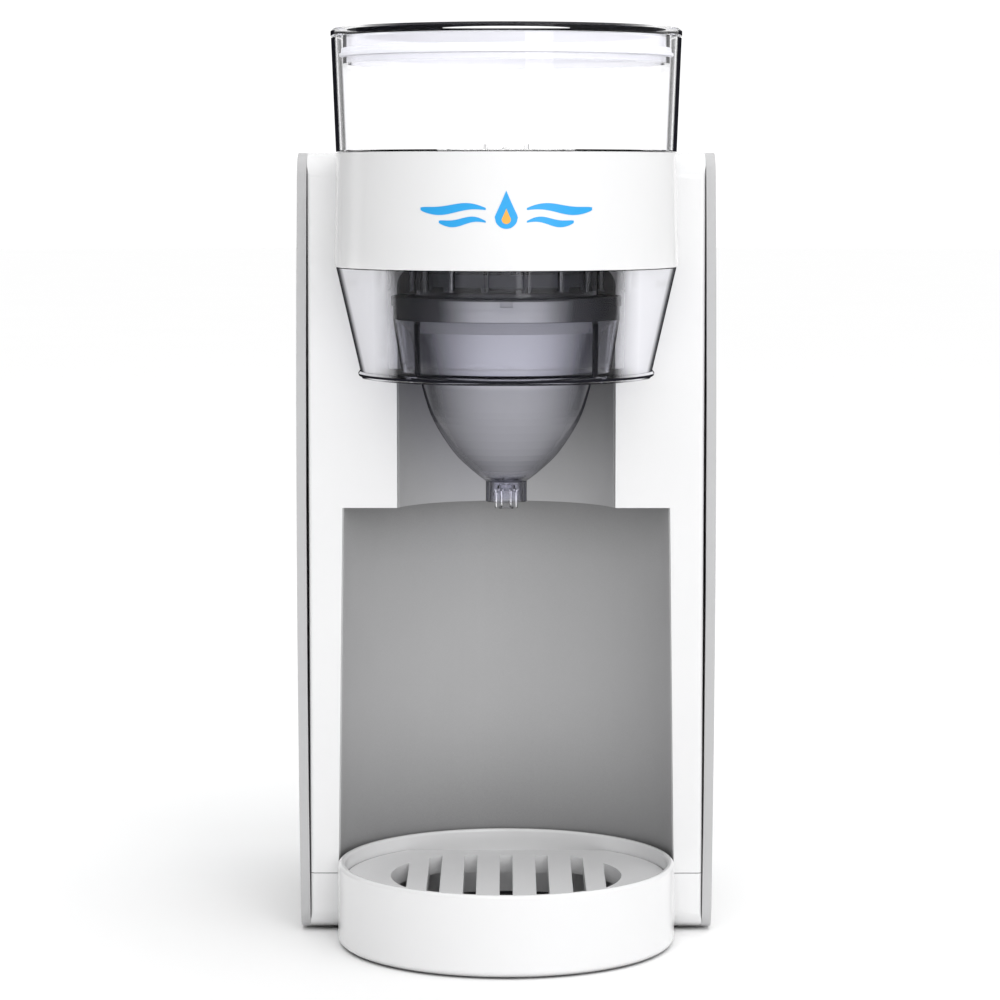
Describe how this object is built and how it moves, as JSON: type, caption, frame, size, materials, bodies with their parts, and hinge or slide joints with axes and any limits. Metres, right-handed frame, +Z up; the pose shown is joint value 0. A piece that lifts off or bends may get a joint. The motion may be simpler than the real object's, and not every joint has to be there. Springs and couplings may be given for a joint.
{
  "type": "formula dispenser",
  "caption": "Countertop baby formula maker with a clear powder hopper, mixing funnel drawer, bottle bay, drip tray, and rear water tank.",
  "frame": {"origin": "centre of the footprint, on the surface it stands on", "axes": "+Z up, front faces -Y, +X to the right as seen from the front"},
  "size_m": [0.175, 0.28, 0.3772],
  "materials": {
    "white_shell": "gloss white moulded ABS",
    "side_panel": "gloss off-white moulded ABS",
    "grey_liner": "satin light grey plastic",
    "grate": "satin pale grey plastic",
    "inner_white": "satin white acetal",
    "grey_plastic": "satin grey plastic",
    "black_rubber": "matte black rubber",
    "smoked_clear": "grey translucent plastic",
    "gear_plastic": "natural acetal",
    "steel": "zinc-plated steel",
    "brass": "machined brass",
    "motor_steel": "rolled steel can",
    "brushed_steel": "brushed stainless steel",
    "clear_plastic": "clear copolyester",
    "tinted_clear": "clear plastic with a faint lavender tint",
    "tank_clear": "clear blue-grey plastic",
    "silicone": "translucent silicone",
    "tank_lid": "satin white plastic",
    "valve_plastic": "blue acetal with a silicone face",
    "black_plastic": "textured black nylon",
    "circuit_board": "solder mask",
    "black_gloss": "gloss black",
    "display_glass": "smoked window",
    "button_white": "gloss white",
    "button_blue": "gloss light blue",
    "rocker_red": "gloss red"
  },
  "bodies": {
    "body": {"base_shell": "white_shell", "rubber_feet": "black_rubber", "front_housing": "white_shell", "bay_liner": "grey_liner", "groove_liner": "grey_liner", "left_side_panel": "side_panel", "right_side_panel": "side_panel", "rear_housing": "white_shell", "tank_dock": "white_shell", "chassis_frame": "grey_plastic", "head_band": "white_shell", "head_well": "inner_white", "gear_plate": "grey_plastic", "shaft_seal": "black_rubber", "powder_outlet": "smoked_clear", "water_ring": "grey_plastic", "idler_axle": "steel", "gear_motor": "motor_steel", "dock_valve": "black_plastic", "suction_hose": "silicone", "pump": "black_plastic", "pressure_hose": "silicone", "flow_meter": "inner_white", "heater": "brushed_steel", "heater_bracket": "steel", "heater_hoses": "silicone", "main_board": "circuit_board", "control_board": "circuit_board", "control_fascia": "black_gloss", "display_window": "display_glass", "power_inlet": "black_plastic", "power_switch": "black_plastic", "drawer_sensor": "black_plastic", "case_screws": "steel", "frame_screws": "steel"},
    "hopper": {"powder_hopper": "clear_plastic", "scraper": "inner_white"},
    "hopper_lid": {"hopper_lid": "clear_plastic", "lid_seal": "silicone"},
    "powder_wheel": {"metering_wheel": "inner_white", "stirrer": "clear_plastic"},
    "drive_gear": {"drive_gear": "gear_plastic"},
    "idler_gear": {"idler_gear": "gear_plastic"},
    "pinion": {"motor_pinion": "brass", "motor_shaft": "steel"},
    "funnel_drawer": {"funnel_drawer": "tinted_clear", "funnel": "tinted_clear", "funnel_nozzle": "tinted_clear"},
    "drip_tray": {"drip_tray": "white_shell"},
    "drip_grate": {"drip_grate": "grate"},
    "water_tank": {"water_tank": "tank_clear", "valve_spring": "steel"},
    "tank_lid": {"tank_lid": "tank_lid"},
    "tank_valve": {"tank_valve": "valve_plastic"},
    "power_button": {"power_button": "button_white"},
    "start_button": {"start_button": "button_blue"},
    "amount_button": {"amount_button": "button_white"},
    "temperature_button": {"temperature_button": "button_white"},
    "recipe_button": {"recipe_button": "button_white"},
    "power_rocker": {"power_rocker": "rocker_red"}
  },
  "joints": [
    {"name": "hopper_lift", "type": "slide", "parent": "body", "child": "hopper", "axis": [0, 0, 1], "range_m": [0, 0.12]},
    {"name": "lid_lift", "type": "slide", "parent": "hopper", "child": "hopper_lid", "axis": [0, 0, 1], "range_m": [0, 0.08]},
    {"name": "wheel_spin", "type": "hinge", "parent": "hopper", "child": "powder_wheel", "pos_m": [0, -0.0685, 0.29], "axis": [0, 0, 1], "continuous": true},
    {"name": "drive_gear_spin", "type": "hinge", "parent": "body", "child": "drive_gear", "pos_m": [0, -0.0685, 0.29], "axis": [0, 0, 1], "continuous": true},
    {"name": "idler_spin", "type": "hinge", "parent": "body", "child": "idler_gear", "pos_m": [0, -0.036, 0.29], "axis": [0, 0, 1], "continuous": true},
    {"name": "pinion_spin", "type": "hinge", "parent": "body", "child": "pinion", "pos_m": [0, -0.0025, 0.29], "axis": [0, 0, 1], "continuous": true},
    {"name": "funnel_drawer_slide", "type": "slide", "parent": "body", "child": "funnel_drawer", "axis": [0, -1, 0], "range_m": [0, 0.15]},
    {"name": "drip_tray_slide", "type": "slide", "parent": "body", "child": "drip_tray", "axis": [0, -1, 0], "range_m": [0, 0.15]},
    {"name": "grate_lift", "type": "slide", "parent": "drip_tray", "child": "drip_grate", "axis": [0, 0, 1], "range_m": [0, 0.04]},
    {"name": "tank_lift", "type": "slide", "parent": "body", "child": "water_tank", "axis": [0, 0, 1], "range_m": [0, 0.3]},
    {"name": "tank_lid_hinge", "type": "hinge", "parent": "water_tank", "child": "tank_lid", "pos_m": [0, 0.0862, 0.3075], "axis": [1, 0, 0], "range_deg": [0, 85]},
    {"name": "tank_valve_lift", "type": "slide", "parent": "water_tank", "child": "tank_valve", "axis": [0, 0, 1], "range_m": [0, 0.003], "stiffness_N_per_m": 150, "springref_m": -0.002, "deforming": ["valve_spring"]},
    {"name": "power_button_press", "type": "slide", "parent": "body", "child": "power_button", "axis": [-1, 0, 0], "range_m": [0, 0.0008], "stiffness_N_per_m": 500},
    {"name": "start_button_press", "type": "slide", "parent": "body", "child": "start_button", "axis": [-1, 0, 0], "range_m": [0, 0.0008], "stiffness_N_per_m": 500},
    {"name": "amount_button_press", "type": "slide", "parent": "body", "child": "amount_button", "axis": [-1, 0, 0], "range_m": [0, 0.0008], "stiffness_N_per_m": 500},
    {"name": "temperature_button_press", "type": "slide", "parent": "body", "child": "temperature_button", "axis": [-1, 0, 0], "range_m": [0, 0.0008], "stiffness_N_per_m": 500},
    {"name": "recipe_button_press", "type": "slide", "parent": "body", "child": "recipe_button", "axis": [-1, 0, 0], "range_m": [0, 0.0008], "stiffness_N_per_m": 500},
    {"name": "rocker_tilt", "type": "hinge", "parent": "body", "child": "power_rocker", "pos_m": [0.041, 0.135, 0.021], "axis": [1, 0, 0], "range_deg": [0, 14]}
  ],
  "couplings": [
    {"joint": "drive_gear_spin", "follows": "wheel_spin", "ratio": 1},
    {"joint": "idler_spin", "follows": "wheel_spin", "ratio": -0.51163},
    {"joint": "pinion_spin", "follows": "wheel_spin", "ratio": 0.91667}
  ]
}
